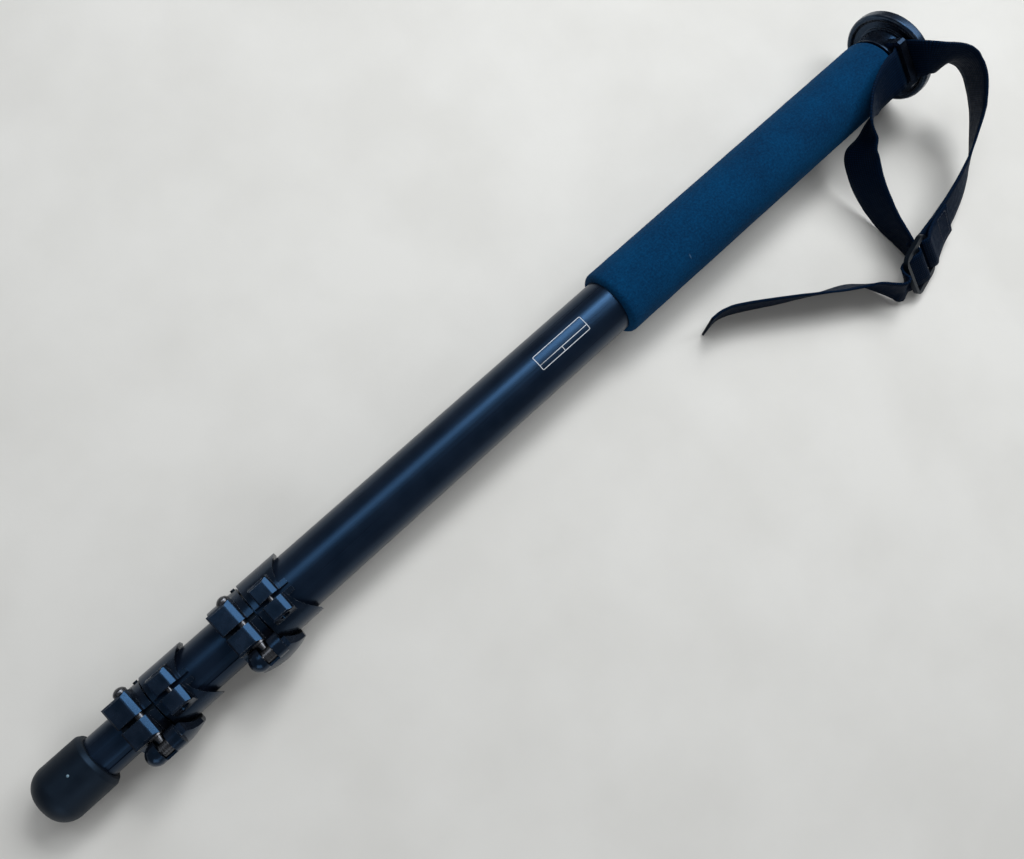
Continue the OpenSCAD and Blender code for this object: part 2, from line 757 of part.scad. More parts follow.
// Corners of the webbing's section at each ring
function ribbon_points(list) =
  let (mid = rail(list, 0), wide = rail(list, 1), last = len(mid) - 1)
  [
    for (i = [0 : last])
      let (
        along = unit(mid[min(i + 1, last)] - mid[max(i - 1, 0)]),
        across = unit(wide[i] - (wide[i] * along) * along),
        up = cross(along, across)
      )
      for (c = [[-1, -1], [1, -1], [1, 1], [-1, 1]])
        mid[i] + across * c[0] * strap_w / 2 + up * c[1] * strap_t / 2
  ];

module ribbon(list) {
  points = ribbon_points(list);
  rings = len(points) / 4;
  sides = [
    for (i = [0 : rings - 2], k = [0 : 3])
      let (a = 4 * i + k, b = 4 * i + (k + 1) % 4)
      for (face = [[a, a + 4, b], [b, a + 4, b + 4]]) face
  ];
  end = len(points) - 4;
  caps = [[0, 1, 2], [0, 2, 3], [end + 2, end + 1, end], [end + 3, end + 2, end]];
  polyhedron(points, concat(sides, caps));
}

module strap_long_run() {
  color([0.07, 0.07, 0.09]) ribbon(long_route);
}

module strap_short_run() {
  color([0.07, 0.07, 0.09]) ribbon(short_route);
}

module strap_buckle() {
  color([0.06, 0.06, 0.07]) at_buckle() translate([0, 0, -buckle_t / 2]) linear_extrude(buckle_t) difference() {
    round_square([-buckle_length / 2, -buckle_w / 2], [buckle_length / 2, buckle_w / 2], 6);
    for (side = [-1, 1]) translate([side * buckle_pitch / 2, 0])
      square([buckle_window, strap_w + buckle_gap], center = true);
  }
}

camera_plate();
plate_pad();
camera_stud();
plate_screws();
head_hub();
upper_tube();
foam_grip();
strap_long_run();
strap_short_run();
strap_buckle();
lock_collar(upper_lock);  // upper_lock_collar
lock_bush(upper_lock);  // upper_lock_bush
pinch_screw(upper_lock);  // upper_lock_pinch_screw
pinch_nut(upper_lock);  // upper_lock_pinch_nut
eye_bolt(upper_lock);  // upper_lock_eye_bolt
dome_nut(upper_lock);  // upper_lock_nut
cam_washer(upper_lock);  // upper_lock_cam_washer
lock_lever(upper_lock);  // upper_lock_lever
lever_pin(upper_lock);  // upper_lock_lever_pin
middle_tube();
guide(middle_r, middle_top);  // middle_tube_guide
lock_collar(lower_lock);  // lower_lock_collar
lock_bush(lower_lock);  // lower_lock_bush
pinch_screw(lower_lock);  // lower_lock_pinch_screw
pinch_nut(lower_lock);  // lower_lock_pinch_nut
eye_bolt(lower_lock);  // lower_lock_eye_bolt
dome_nut(lower_lock);  // lower_lock_nut
cam_washer(lower_lock);  // lower_lock_cam_washer
lock_lever(lower_lock);  // lower_lock_lever
lever_pin(lower_lock);  // lower_lock_lever_pin
lower_tube();
guide(lower_r, lower_top);  // lower_tube_guide
foot_plug();
rubber_foot();
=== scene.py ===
import bpy, bmesh, json, math
from mathutils import Vector, Matrix, noise


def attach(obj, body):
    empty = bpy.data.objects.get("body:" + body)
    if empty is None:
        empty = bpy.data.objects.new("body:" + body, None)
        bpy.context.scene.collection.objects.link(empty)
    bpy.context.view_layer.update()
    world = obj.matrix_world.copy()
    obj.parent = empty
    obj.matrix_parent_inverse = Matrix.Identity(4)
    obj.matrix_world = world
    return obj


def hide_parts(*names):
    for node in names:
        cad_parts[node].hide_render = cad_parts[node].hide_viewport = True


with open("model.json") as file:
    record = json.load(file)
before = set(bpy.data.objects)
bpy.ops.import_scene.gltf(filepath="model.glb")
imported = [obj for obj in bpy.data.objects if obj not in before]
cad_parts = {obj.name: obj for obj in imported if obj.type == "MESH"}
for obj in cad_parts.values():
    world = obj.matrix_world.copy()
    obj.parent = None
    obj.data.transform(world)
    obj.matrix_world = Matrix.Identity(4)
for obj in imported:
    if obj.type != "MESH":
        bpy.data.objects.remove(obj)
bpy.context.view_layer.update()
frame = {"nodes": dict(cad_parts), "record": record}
nodes = frame["nodes"]
scene = bpy.context.scene
scene.view_settings.view_transform = "Standard"
mm = 0.001
print("frame:", len(nodes), "nodes")

# camera, matched to the photo: 36 mm wide sensor, no shift
view = {
    "place": (-0.4931, -0.0656, 0.5483),
    "right": (0.7216, -0.6827, 0.1142),
    "up": (0.6510, 0.7254, 0.2236),
    "back": (-0.2355, -0.0869, 0.9679),
    "lens": 35.156,
    "sensor": 36,
    "near": 0.01,
}
camData = bpy.data.cameras.new("camera")
camData.lens = view["lens"]
camData.sensor_width = view["sensor"]
camData.sensor_fit = "HORIZONTAL"
camData.clip_start = view["near"]
camera = bpy.data.objects.new("camera", camData)
turn = Matrix((view["right"], view["up"], view["back"])).transposed()
camera.matrix_world = Matrix.Translation(view["place"]) @ turn.to_4x4()
scene.collection.objects.link(camera)
scene.camera = camera

# soft studio light: four panels and an even sky
lights = {
    "window": {"at": (0.62, 0.18, 1.15), "to": (-0.3, 0, 0), "size": (1.2, 0.75), "power": 18.5,
               "colour": (0.92, 0.96, 1)},
    "strip": {"at": (-0.3, 0.52, 1.2), "to": (-0.35, 0, 0), "size": (0.7, 0.5), "power": 4,
              "colour": (0.9, 0.95, 1)},
    "bulb": {"at": (0.2, 0.46, 1.12), "to": (-0.275, 0, 0), "size": (0.4, 0.3), "power": 4,
             "colour": (0.95, 0.97, 1)},
    "side": {"at": (-1.5, -1.1, 0.75), "to": (-0.35, 0, 0), "size": (1.2, 0.9), "power": 6,
             "colour": (0.97, 0.98, 1)},
}
sky = {"colour": (0.9, 0.94, 1), "strength": 0.2}


def aim(at, to):
    away = (Vector(at) - Vector(to)).normalized()
    return Matrix.Translation(at) @ away.to_track_quat("Z", "Y").to_matrix().to_4x4()


for name, lamp in lights.items():
    data = bpy.data.lights.new(name, "AREA")
    data.shape = "RECTANGLE"
    data.size, data.size_y = lamp["size"]
    data.energy = lamp["power"]
    data.color = lamp["colour"]
    obj = bpy.data.objects.new(name, data)
    obj.matrix_world = aim(lamp["at"], lamp["to"])
    scene.collection.objects.link(obj)

world = bpy.data.worlds.new("studio")
world.use_nodes = True
backdrop = world.node_tree.nodes["Background"]
backdrop.inputs["Color"].default_value = (*sky["colour"], 1)
backdrop.inputs["Strength"].default_value = sky["strength"]
scene.world = world
print("camera and", len(lights), "lights set")

# the parts of a noise's range that ramps and spans run over
usual = {"ramp": (0.35, 0.65), "span": (0.3, 0.7)}


# plain values of a shader; what a finish doesn't name stays as Blender has it
def startMaterial(s):
    mat = bpy.data.materials.new(s["name"])
    mat.use_nodes = True
    shader = mat.node_tree.nodes["Principled BSDF"]
    shader.inputs["Base Color"].default_value = (*s["high"], 1)
    shader.inputs["Roughness"].default_value = s["even"]
    shader.inputs["Metallic"].default_value = s.get("metallic", 0.0)
    if "gloss" in s:
        shader.inputs["Specular IOR Level"].default_value = s["gloss"]
    if "tint" in s:
        shader.inputs["Specular Tint"].default_value = (*s["tint"], 1)
    if "sheen" in s:
        weight, spread, colour = s["sheen"]
        shader.inputs["Sheen Weight"].default_value = weight
        shader.inputs["Sheen Roughness"].default_value = spread
        shader.inputs["Sheen Tint"].default_value = (*colour, 1)
    return mat, mat.node_tree, shader


def coords(tree, stretch=(1, 1, 1), kind="Object"):
    tex = tree.nodes.new("ShaderNodeTexCoord")
    mapping = tree.nodes.new("ShaderNodeMapping")
    mapping.inputs["Scale"].default_value = stretch
    tree.links.new(tex.outputs[kind], mapping.inputs["Vector"])
    return mapping.outputs["Vector"]


def grain(tree, scale, detail, stretch=(1, 1, 1), kind="Object"):
    tex = tree.nodes.new("ShaderNodeTexNoise")
    tex.inputs["Scale"].default_value = scale
    tex.inputs["Detail"].default_value = detail
    tree.links.new(coords(tree, stretch, kind), tex.inputs["Vector"])
    return tex.outputs["Fac"]


def ramp(tree, fac, low, high, ends=usual["ramp"]):
    node = tree.nodes.new("ShaderNodeValToRGB")
    for element, place, colour in zip(node.color_ramp.elements, ends, (low, high)):
        element.position = place
        element.color = (*colour, 1)
    tree.links.new(fac, node.inputs["Fac"])
    return node.outputs["Color"]


def span(tree, fac, low, high):
    node = tree.nodes.new("ShaderNodeMapRange")
    node.inputs["From Min"].default_value, node.inputs["From Max"].default_value = usual["span"]
    node.inputs["To Min"].default_value = low
    node.inputs["To Max"].default_value = high
    tree.links.new(fac, node.inputs["Value"])
    return node.outputs["Result"]


def product(tree, first, second):
    node = tree.nodes.new("ShaderNodeMath")
    node.operation = "MULTIPLY"
    tree.links.new(first, node.inputs[0])
    tree.links.new(second, node.inputs[1])
    return node.outputs[0]


def blend(tree, share, under, colour):
    mix = tree.nodes.new("ShaderNodeMix")
    mix.data_type = "RGBA"
    tree.links.new(share, mix.inputs["Factor"])
    tree.links.new(under, mix.inputs["A"])
    mix.inputs["B"].default_value = (*colour, 1)
    return mix.outputs["Result"]


def bump(tree, shader, height, strength, depth, under=None):
    node = tree.nodes.new("ShaderNodeBump")
    node.inputs["Strength"].default_value = strength
    node.inputs["Distance"].default_value = depth
    tree.links.new(height, node.inputs["Height"])
    if under:
        tree.links.new(under, node.inputs["Normal"])
    tree.links.new(node.outputs["Normal"], shader.inputs["Normal"])
    return node.outputs["Normal"]


# A noise is given as scale, detail and stretch. Cloud runs between the two colours, polish between the two
# roughnesses and skin makes the bump; polish and skin are the cloud where they aren't named. Even is the
# roughness without noise, bump is strength and depth in m, and tint makes the blacks' reflections lean to blue.
drawn = (1, 3, (6, 900, 900))
brushed = (1, 4, (2500, 300, 300))
finishes = {
    "floor": {"name": "floorPaint", "low": (0.60, 0.58, 0.54), "high": (0.64, 0.62, 0.58), "even": 0.85,
              "cloud": (14, 5), "skin": (420, 3), "bump": (0.08, 0.0004)},
    "tube": {"name": "blackTube", "low": (0.002, 0.003, 0.006), "high": (0.004, 0.006, 0.011), "even": 0.3,
             "rough": (0.27, 0.36), "tint": (0.2, 0.5, 1), "cloud": (60, 4), "polish": drawn, "skin": drawn,
             "bump": (0.05, 0.00005)},
    # the casting's pale edge colour is partly rubbed bare metal, partly a painted highlight along the rims
    "casting": {"name": "blackCasting", "low": (0.002, 0.003, 0.005), "high": (0.005, 0.006, 0.009),
                "even": 0.34, "rough": (0.2, 0.3), "tint": (0.2, 0.5, 1), "cloud": (150, 5), "skin": (900, 2),
                "bump": (0.1, 0.0001), "metal": (0.3, 0.33, 0.37), "wornAndGlint": 1.0, "rubsAndGlints": (260, 4)},
    "bright": {"name": "platedSteel", "low": (0.5, 0.5, 0.51), "high": (0.64, 0.64, 0.65), "even": 0.3,
               "metallic": 1.0, "rough": (0.22, 0.36), "cloud": brushed, "bump": (0.06, 0.00005)},
    "dark": {"name": "blackenedSteel", "low": (0.05, 0.052, 0.058), "high": (0.11, 0.112, 0.12), "even": 0.3,
             "metallic": 1.0, "rough": (0.24, 0.38), "cloud": brushed, "bump": (0.06, 0.00005)},
    "nylon": {"name": "blackNylon", "low": (0.002, 0.003, 0.004), "high": (0.004, 0.005, 0.007), "even": 0.5,
              "gloss": 0.25, "rough": (0.3, 0.42), "tint": (0.4, 0.66, 1), "cloud": (120, 4),
              "skin": (1400, 2), "bump": (0.1, 0.00008)},
    "rubber": {"name": "blackRubber", "low": (0.0015, 0.002, 0.0035), "high": (0.003, 0.004, 0.006),
               "even": 0.6, "gloss": 0.35, "rough": (0.46, 0.62), "tint": (0.35, 0.62, 1), "cloud": (90, 6),
               "skin": (1100, 3), "bump": (0.2, 0.00012)},
    "foam": {"name": "blueFoam", "low": (0.0008, 0.015, 0.046), "high": (0.0015, 0.034, 0.094), "even": 0.9,
             "gloss": 0.08, "rough": (0.8, 0.95), "tint": (0.3, 0.65, 1), "sheen": (0.04, 0.6, (0.1, 0.45, 0.9)),
             "patch": (45, 6), "speck": (800, 3), "speckShare": 0.62, "pores": 1500, "press": (0.15, 0.0006),
             "bump": (0.35, 0.0003), "scuff": (0.05, 0.1, 0.17), "scuffAt": (-0.2143, -0.0125, 0.0172),
             "scuffSize": (0.0006, 0.0022, 0.0022)},
    "webbing": {"name": "blackWebbing", "low": (0.0008, 0.002, 0.006), "high": (0.002, 0.009, 0.026),
                "even": 0.65, "gloss": 0.06, "rough": (0.55, 0.75), "tint": (0.2, 0.5, 1),
                "sheen": (0.02, 0.4, (0.2, 0.5, 0.95)), "ribs": {"X": 190, "Y": 270}, "waver": 0.4,
                "ends": (0.1, 0.8), "polish": (300, 3), "bump": (0.5, 0.0003)},
    "thread": {"name": "sewingThread", "low": (0.006, 0.010, 0.018), "high": (0.014, 0.020, 0.034),
               "even": 0.5, "rough": (0.4, 0.6), "cloud": (2200, 4), "bump": (0.2, 0.00005)},
    "print": {"name": "whitePrint", "low": (0.50, 0.52, 0.55), "high": (0.62, 0.64, 0.67), "even": 0.5,
              "rough": (0.45, 0.6), "cloud": (500, 4), "bump": (0.2, 0.00005)},
    # the pip's pale bluish colour is a painted glint, not the rubber's own colour
    "pip": {"name": "pipPaintedGlint", "low": (0.10, 0.17, 0.22), "high": (0.17, 0.26, 0.32), "even": 0.5,
            "rough": (0.3, 0.45), "cloud": (900, 4), "bump": (0.2, 0.00005)},
}


# pale colour on the broken edges, which a face attribute marks: partly rubbed bare metal, partly a painted
# highlight along the rims
def wornAndGlintEdges(tree, paint, s):
    mark = tree.nodes.new("ShaderNodeAttribute")
    mark.attribute_name = "wearAndGlint"
    rubbedAndGlint = span(tree, grain(tree, *s["rubsAndGlints"]), 0, s["wornAndGlint"])
    return blend(tree, product(tree, mark.outputs["Fac"], rubbedAndGlint), paint, s["metal"])


def makeFinish(key):
    s = finishes[key]
    mat, tree, shader = startMaterial(s)
    cloud = grain(tree, *s["cloud"])
    polish = grain(tree, *s["polish"]) if "polish" in s else cloud
    skin = grain(tree, *s["skin"]) if "skin" in s else cloud
    paint = ramp(tree, cloud, s["low"], s["high"])
    if "wornAndGlint" in s:
        paint = wornAndGlintEdges(tree, paint, s)
    tree.links.new(paint, shader.inputs["Base Color"])
    if "rough" in s:
        tree.links.new(span(tree, polish, *s["rough"]), shader.inputs["Roughness"])
    bump(tree, shader, skin, *s["bump"])
    return mat


# closed cell foam: fine open pores, soft patches where hands have pressed it, one small scuff
def foamFinish():
    s = finishes["foam"]
    mat, tree, shader = startMaterial(s)
    patch = grain(tree, *s["patch"])
    tone = tree.nodes.new("ShaderNodeMix")
    tone.inputs["Factor"].default_value = s["speckShare"]
    tree.links.new(patch, tone.inputs["A"])
    tree.links.new(grain(tree, *s["speck"]), tone.inputs["B"])
    pores = tree.nodes.new("ShaderNodeTexVoronoi")
    pores.inputs["Scale"].default_value = s["pores"]
    tree.links.new(coords(tree), pores.inputs["Vector"])
    near = tree.nodes.new("ShaderNodeMapping")
    near.vector_type = "TEXTURE"
    near.inputs["Location"].default_value = s["scuffAt"]
    near.inputs["Scale"].default_value = s["scuffSize"]
    tree.links.new(coords(tree), near.inputs["Vector"])
    spot = tree.nodes.new("ShaderNodeTexGradient")
    spot.gradient_type = "SPHERICAL"
    tree.links.new(near.outputs["Vector"], spot.inputs["Vector"])
    plain = ramp(tree, tone.outputs["Result"], s["low"], s["high"])
    tree.links.new(blend(tree, spot.outputs["Fac"], plain, s["scuff"]), shader.inputs["Base Color"])
    tree.links.new(span(tree, patch, *s["rough"]), shader.inputs["Roughness"])
    pressed = bump(tree, shader, patch, *s["press"])
    bump(tree, shader, pores.outputs["Distance"], *s["bump"], under=pressed)
    return mat


# woven tape: ribs across and along on the tape's own UV map, in metres
def webbingFinish():
    s = finishes["webbing"]
    mat, tree, shader = startMaterial(s)
    waves = []
    for direction, scale in s["ribs"].items():
        wave = tree.nodes.new("ShaderNodeTexWave")
        wave.bands_direction = direction
        wave.inputs["Scale"].default_value = scale
        wave.inputs["Distortion"].default_value = s["waver"]
        tree.links.new(coords(tree, kind="UV"), wave.inputs["Vector"])
        waves.append(wave.outputs["Fac"])
    weave = product(tree, *waves)
    tree.links.new(ramp(tree, weave, s["low"], s["high"], s["ends"]), shader.inputs["Base Color"])
    polish = grain(tree, *s["polish"], kind="UV")
    tree.links.new(span(tree, polish, *s["rough"]), shader.inputs["Roughness"])
    bump(tree, shader, weave, *s["bump"])
    return mat


finish = {
    "black_tube": makeFinish("tube"),
    "black_casting": makeFinish("casting"),
    "bright_steel": makeFinish("bright"),
    "dark_steel": makeFinish("dark"),
    "bush_plastic": makeFinish("nylon"),
    "rubber": makeFinish("rubber"),
    "foam": foamFinish(),
    "webbing": webbingFinish(),
}
finish["black_plastic"] = finish["bush_plastic"]
threadFinish = makeFinish("thread")
printFinish = makeFinish("print")
# pale finish of the pip: a painted glint
pipGlintFinish = makeFinish("pip")
slotOf = {part["node"]: part["material_slot"] for part in frame["record"]["subparts"]}
for name, obj in nodes.items():
    obj.data.materials.clear()
    obj.data.materials.append(finish[slotOf[name]])
print("materials:", len(bpy.data.materials))


# smooth shading, with creases where faces meet at more than the given angle
def addPiece(name, bm, slot, body, smooth=40, look=None):
    mesh = bpy.data.meshes.new(name)
    for face in bm.faces:
        face.smooth = True
    for edge in bm.edges:
        edge.smooth = not (len(edge.link_faces) == 2 and edge.calc_face_angle(0) > math.radians(smooth))
    bm.to_mesh(mesh)
    bm.free()
    mesh.materials.append(look or finish[slot])
    obj = bpy.data.objects.new(name, mesh)
    scene.collection.objects.link(obj)
    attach(obj, body)
    return obj


# floor under the plate's edge and the first lock, so it tips a little against the tube's axis
ground = {"size": 6.0, "cells": 8, "at": (-0.004, 0, -0.0307), "tip": 1.07}
bm = bmesh.new()
bmesh.ops.create_grid(bm, x_segments=ground["cells"], y_segments=ground["cells"], size=ground["size"] / 2)
bmesh.ops.rotate(bm, verts=bm.verts, matrix=Matrix.Rotation(math.radians(ground["tip"]), 3, "Y"))
bmesh.ops.translate(bm, verts=bm.verts, vec=ground["at"])
floorMesh = bpy.data.meshes.new("floor")
bm.to_mesh(floorMesh)
bm.free()
floorMesh.materials.append(makeFinish("floor"))
floor = bpy.data.objects.new("floor", floorMesh)
scene.collection.objects.link(floor)

# cast and machined pieces keep their CAD shape, with their edges broken so that they catch the light:
# width in mm and how much pale edge colour they get, partly rubbed bare metal and partly a painted highlight
edges = {
    "upper_section": {"camera_plate": (0.5, 0.1), "head_hub": (0.4, 0), "upper_lock_collar": (0.35, 1),
                      "upper_lock_eye_bolt": (0.3, 0), "upper_lock_nut": (0.25, 0), "strap_buckle": (1.0, 0)},
    "upper_lever": {"upper_lock_lever": (0.6, 0.7)},
    "middle_section": {"lower_lock_collar": (0.35, 1), "lower_lock_eye_bolt": (0.3, 0),
                       "lower_lock_nut": (0.25, 0)},
    "lower_lever": {"lower_lock_lever": (0.6, 0.7)},
    "lower_section": {"rubber_foot": (0.5, 0)},
}
# faces within a fraction of a degree are joined first, and bends over 20 degrees count as edges
broken = {"weld": 2e-6, "flat": 0.4, "bend": 20, "steps": 2, "level": 0.1, "top": 0.8}

# the slope at the end of each lug's top is cut a little deeper and its edges are rounded, in mm
lugs = {"square": 0.02, "tilt": (0.3, 0.5), "long": 5, "wide": 1, "deeper": 0.35, "round": 0.5, "steps": 4}


def isSlope(face):
    sizes = [e.calc_length() / mm for e in face.edges]
    least, most = lugs["tilt"]
    tilted = abs(face.normal.y) < lugs["square"] and least < face.normal.x < most
    return tilted and max(sizes) > lugs["long"] and min(sizes) > lugs["wide"]


def slopeLugs(bm):
    slopes = [face for face in bm.faces if isSlope(face)]
    for face in slopes:
        steps = []
        for v in face.verts:
            out = next(e for e in v.link_edges if face not in e.link_faces)
            way = (out.other_vert(v).co - v.co).normalized()
            steps.append(way * lugs["deeper"] * mm / abs(way.dot(face.normal)))
        for v, step in zip(face.verts, steps):
            v.co += step
    bm.normal_update()
    ends = [e for face in slopes for e in face.edges if e.calc_length() > lugs["long"] * mm]
    bmesh.ops.bevel(bm, geom=ends, offset=lugs["round"] * mm, segments=lugs["steps"], profile=0.5,
                    affect="EDGES", clamp_overlap=False, material=-1)


def brokenEdges(node, body, width, rubbedAndGlint):
    bm = bmesh.new()
    bm.from_mesh(nodes[node].data)
    bmesh.ops.remove_doubles(bm, verts=bm.verts, dist=broken["weld"])
    bmesh.ops.dissolve_limit(bm, angle_limit=math.radians(broken["flat"]), verts=bm.verts, edges=bm.edges)
    if node.endswith("collar"):
        slopeLugs(bm)
    wearAndGlint = bm.faces.layers.float.new("wearAndGlint")
    bend = math.radians(broken["bend"])
    sharp = [e for e in bm.edges if len(e.link_faces) == 2 and e.calc_face_angle(0) > bend]
    made = bmesh.ops.bevel(bm, geom=sharp, offset=width * mm, segments=broken["steps"], profile=0.5,
                           affect="EDGES", clamp_overlap=True, material=-1)
    # bevel faces that don't face up get the pale edge colour: partly rubbed metal, partly a painted highlight
    for face in made["faces"]:
        onTop = abs(face.normal.y) < broken["level"] and face.normal.z > broken["top"]
        face[wearAndGlint] = 0 if onTop else rubbedAndGlint
    obj = addPiece(node + "Edged", bm, slotOf[node], body)
    normals = obj.modifiers.new("normals", "WEIGHTED_NORMAL")
    normals.keep_sharp = True
    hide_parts(node)


for body, group in edges.items():
    for node, (width, rubbedAndGlint) in group.items():
        brokenEdges(node, body, width, rubbedAndGlint)
print("edges broken")


# closed outline of (x, radius) in mm, and its spin round the tube's axis
def outline(line):
    bm = bmesh.new()
    verts = [bm.verts.new((x * mm, 0, r * mm)) for x, r in line]
    for pair in zip(verts, verts[1:] + verts[:1]):
        bm.edges.new(pair)
    return bm, verts


def spinRound(bm, steps, weld=1e-6):
    bmesh.ops.spin(bm, geom=bm.verts[:] + bm.edges[:], cent=(0, 0, 0), axis=(1, 0, 0), angle=2 * math.pi,
                   steps=steps, use_merge=True)
    bmesh.ops.remove_doubles(bm, verts=bm.verts, dist=weld)
    bmesh.ops.recalc_face_normals(bm, faces=bm.faces)


# camera stud: plain 3/8 base in the hub, then a cut 1/4 thread with a lead-in at its tip, in mm
stud = {"base": 4.76, "sides": 64, "from": -18.7, "shoulder": -0.4, "sink": 0.5, "end": 5.6, "core": 2.58,
        "crest": 3.17, "pitch": 1.27, "flanks": (0.12, 0.57, 0.7, 1.15), "spare": 2, "steps": 40,
        "weld": 1e-5, "cut": 1e-7, "lead": 0.7, "taper": 0.9}


def cameraStud():
    s = stud
    core, crest, pitch = s["core"], s["crest"], s["pitch"]
    bm = bmesh.new()
    turns = int((s["end"] - s["shoulder"]) / pitch) + 2 * s["spare"]
    start = s["shoulder"] - s["spare"] * pitch
    profile = zip((0, *s["flanks"], pitch), (core, core, crest, crest, core, core))
    verts = [bm.verts.new(((start + x) * mm, 0, r * mm)) for x, r in profile]
    line = [bm.edges.new(pair) for pair in zip(verts, verts[1:])]
    bmesh.ops.spin(bm, geom=verts + line, cent=(0, 0, 0), axis=(1, 0, 0), angle=2 * math.pi * turns,
                   steps=turns * s["steps"], dvec=(pitch * mm / s["steps"], 0, 0), use_merge=False)
    bmesh.ops.remove_doubles(bm, verts=bm.verts, dist=s["weld"])
    for x, side in ((s["shoulder"] - s["sink"], -1), (s["end"], 1)):
        cut = bmesh.ops.bisect_plane(bm, geom=bm.verts[:] + bm.edges[:] + bm.faces[:], dist=s["cut"],
                                     plane_co=(x * mm, 0, 0), plane_no=(side, 0, 0), clear_outer=True)
        ring = [g for g in cut["geom_cut"] if isinstance(g, bmesh.types.BMEdge)]
        bmesh.ops.contextual_create(bm, geom=ring)
    for v in bm.verts:
        over = v.co.x / mm - (s["end"] - s["lead"])
        if over > 0:
            k = min(1, (crest - s["taper"] * over) / (math.hypot(v.co.y, v.co.z) / mm))
            v.co.y *= k
            v.co.z *= k
    long = (s["shoulder"] - s["from"]) * mm
    base = bmesh.ops.create_cone(bm, cap_ends=True, segments=s["sides"], radius1=s["base"] * mm,
                                 radius2=s["base"] * mm, depth=long)
    bmesh.ops.rotate(bm, verts=base["verts"], matrix=Matrix.Rotation(math.pi / 2, 3, "Y"))
    bmesh.ops.translate(bm, verts=base["verts"], vec=(s["from"] * mm + long / 2, 0, 0))
    bmesh.ops.recalc_face_normals(bm, faces=bm.faces)
    obj = addPiece("studThread", bm, "bright_steel", "upper_section", smooth=30)
    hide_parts("camera_stud")


cameraStud()

# rubber pad of the camera plate, with moulded rings round the stud, in mm
pad = {"inner": 5.56, "outer": 28.5, "back": -1.2, "first": 1.3, "margin": 0.8, "chamfer": 0.35,
       "groove": 0.4, "flank": 0.25, "land": 0.7, "pitch": 1.6, "steps": 120}


def ringedPad():
    s = pad
    low, wide = -s["groove"], s["pitch"] - s["land"]
    line = [(s["back"], s["inner"]), (0, s["inner"])]
    r = s["inner"] + s["first"]
    while r + s["pitch"] < s["outer"] - s["margin"]:
        line += [(0, r), (low, r + s["flank"]), (low, r + wide - s["flank"]), (0, r + wide)]
        r += s["pitch"]
    line += [(0, s["outer"] - s["chamfer"]), (-s["chamfer"], s["outer"]), (s["back"], s["outer"])]
    bm, verts = outline(line)
    spinRound(bm, s["steps"])
    obj = addPiece("padRings", bm, "rubber", "upper_section", smooth=25)
    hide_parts("plate_pad")


ringedPad()

# small mould pip on the foot, in mm
pip = {"at": (-644.1, 1.9, 15.75), "size": 0.75, "rise": 0.45, "cells": (16, 10)}
around, upward = pip["cells"]
tilt = -math.atan2(pip["at"][1], pip["at"][2])
bm = bmesh.new()
bmesh.ops.create_uvsphere(bm, u_segments=around, v_segments=upward, radius=pip["size"] * mm)
bmesh.ops.scale(bm, verts=bm.verts, vec=(1, 1, pip["rise"] / pip["size"]))
bmesh.ops.rotate(bm, verts=bm.verts, matrix=Matrix.Rotation(tilt, 3, "X"))
bmesh.ops.translate(bm, verts=bm.verts, vec=Vector(pip["at"]) * mm)
# the pip is coloured pale as a painted glint
addPiece("footPip", bm, "rubber", "lower_section", look=pipGlintFinish)

# empty printed box on the upper tube, split by two bars, in mm along the axis and degrees round it
boxes = {"radius": 17.015, "line": 0.42, "gap": 0.03, "corner": 0.9, "cornerSteps": 5, "rise": 0.012,
         "frame": (-327.2, -289.7, -15.5, 17.5), "split": 5.5, "half": -309.5, "long": 1.5, "cuts": 11}


def printedBoxes():
    bm = bmesh.new()
    radius, line, gap = boxes["radius"], boxes["line"], boxes["gap"]
    arc = math.radians(1) * radius
    x0, x1, a0, a1 = boxes["frame"]

    def patch(left, right, top, base):
        made = bmesh.ops.create_grid(bm, x_segments=1, y_segments=1, size=0.5)["verts"]
        bmesh.ops.scale(bm, verts=made, vec=(right - left, (base - top) * arc, 1))
        bmesh.ops.translate(bm, verts=made, vec=((left + right) / 2, (top + base) / 2 * arc, 0))
        return made

    bmesh.ops.bevel(bm, geom=patch(x0, x1, a0, a1), offset=boxes["corner"], segments=boxes["cornerSteps"],
                    profile=0.5, affect="VERTICES", clamp_overlap=True, material=-1)
    plate = bm.faces[:]
    bmesh.ops.inset_region(bm, faces=plate, thickness=line, use_boundary=True, use_even_offset=True)
    bmesh.ops.delete(bm, geom=plate, context="FACES_ONLY")
    patch(x0 + line + gap, x1 - line - gap, boxes["split"], boxes["split"] + line / arc)
    patch(boxes["half"] - line, boxes["half"], boxes["split"] + (line + gap) / arc, a1 - (line + gap) / arc)
    across = [e for e in bm.edges if abs(e.verts[0].co.y - e.verts[1].co.y) > boxes["long"]]
    bmesh.ops.subdivide_edges(bm, edges=across, cuts=boxes["cuts"], use_grid_fill=True)
    for v in bm.verts:  # laid round the tube
        a = v.co.y / radius
        v.co = Vector((v.co.x, -radius * math.sin(a), radius * math.cos(a))) * mm
    bmesh.ops.recalc_face_normals(bm, faces=bm.faces)
    for face in bm.faces:
        middle = face.calc_center_median()
        if face.normal.dot(Vector((0, middle.y, middle.z))) < 0:
            face.normal_flip()
    obj = addPiece("printedBoxes", bm, "black_tube", "upper_section", smooth=60, look=printFinish)
    wall = obj.modifiers.new("wall", "SOLIDIFY")
    wall.thickness = boxes["rise"] * mm
    wall.offset = 1


printedBoxes()
print("stud, pad, pip and print made")

# foam grip: a soft sleeve on the upper tube, with pressed patches, in mm
grip = {"inner": 17.02, "outer": 21.28, "high": -20.75, "low": -265.85, "round": 3.7, "roundSteps": 7,
        "outside": 20, "rows": 70, "steps": 96, "skin": 0.3, "dent": 0.2, "patches": ((38, 1), (90, 0.5))}


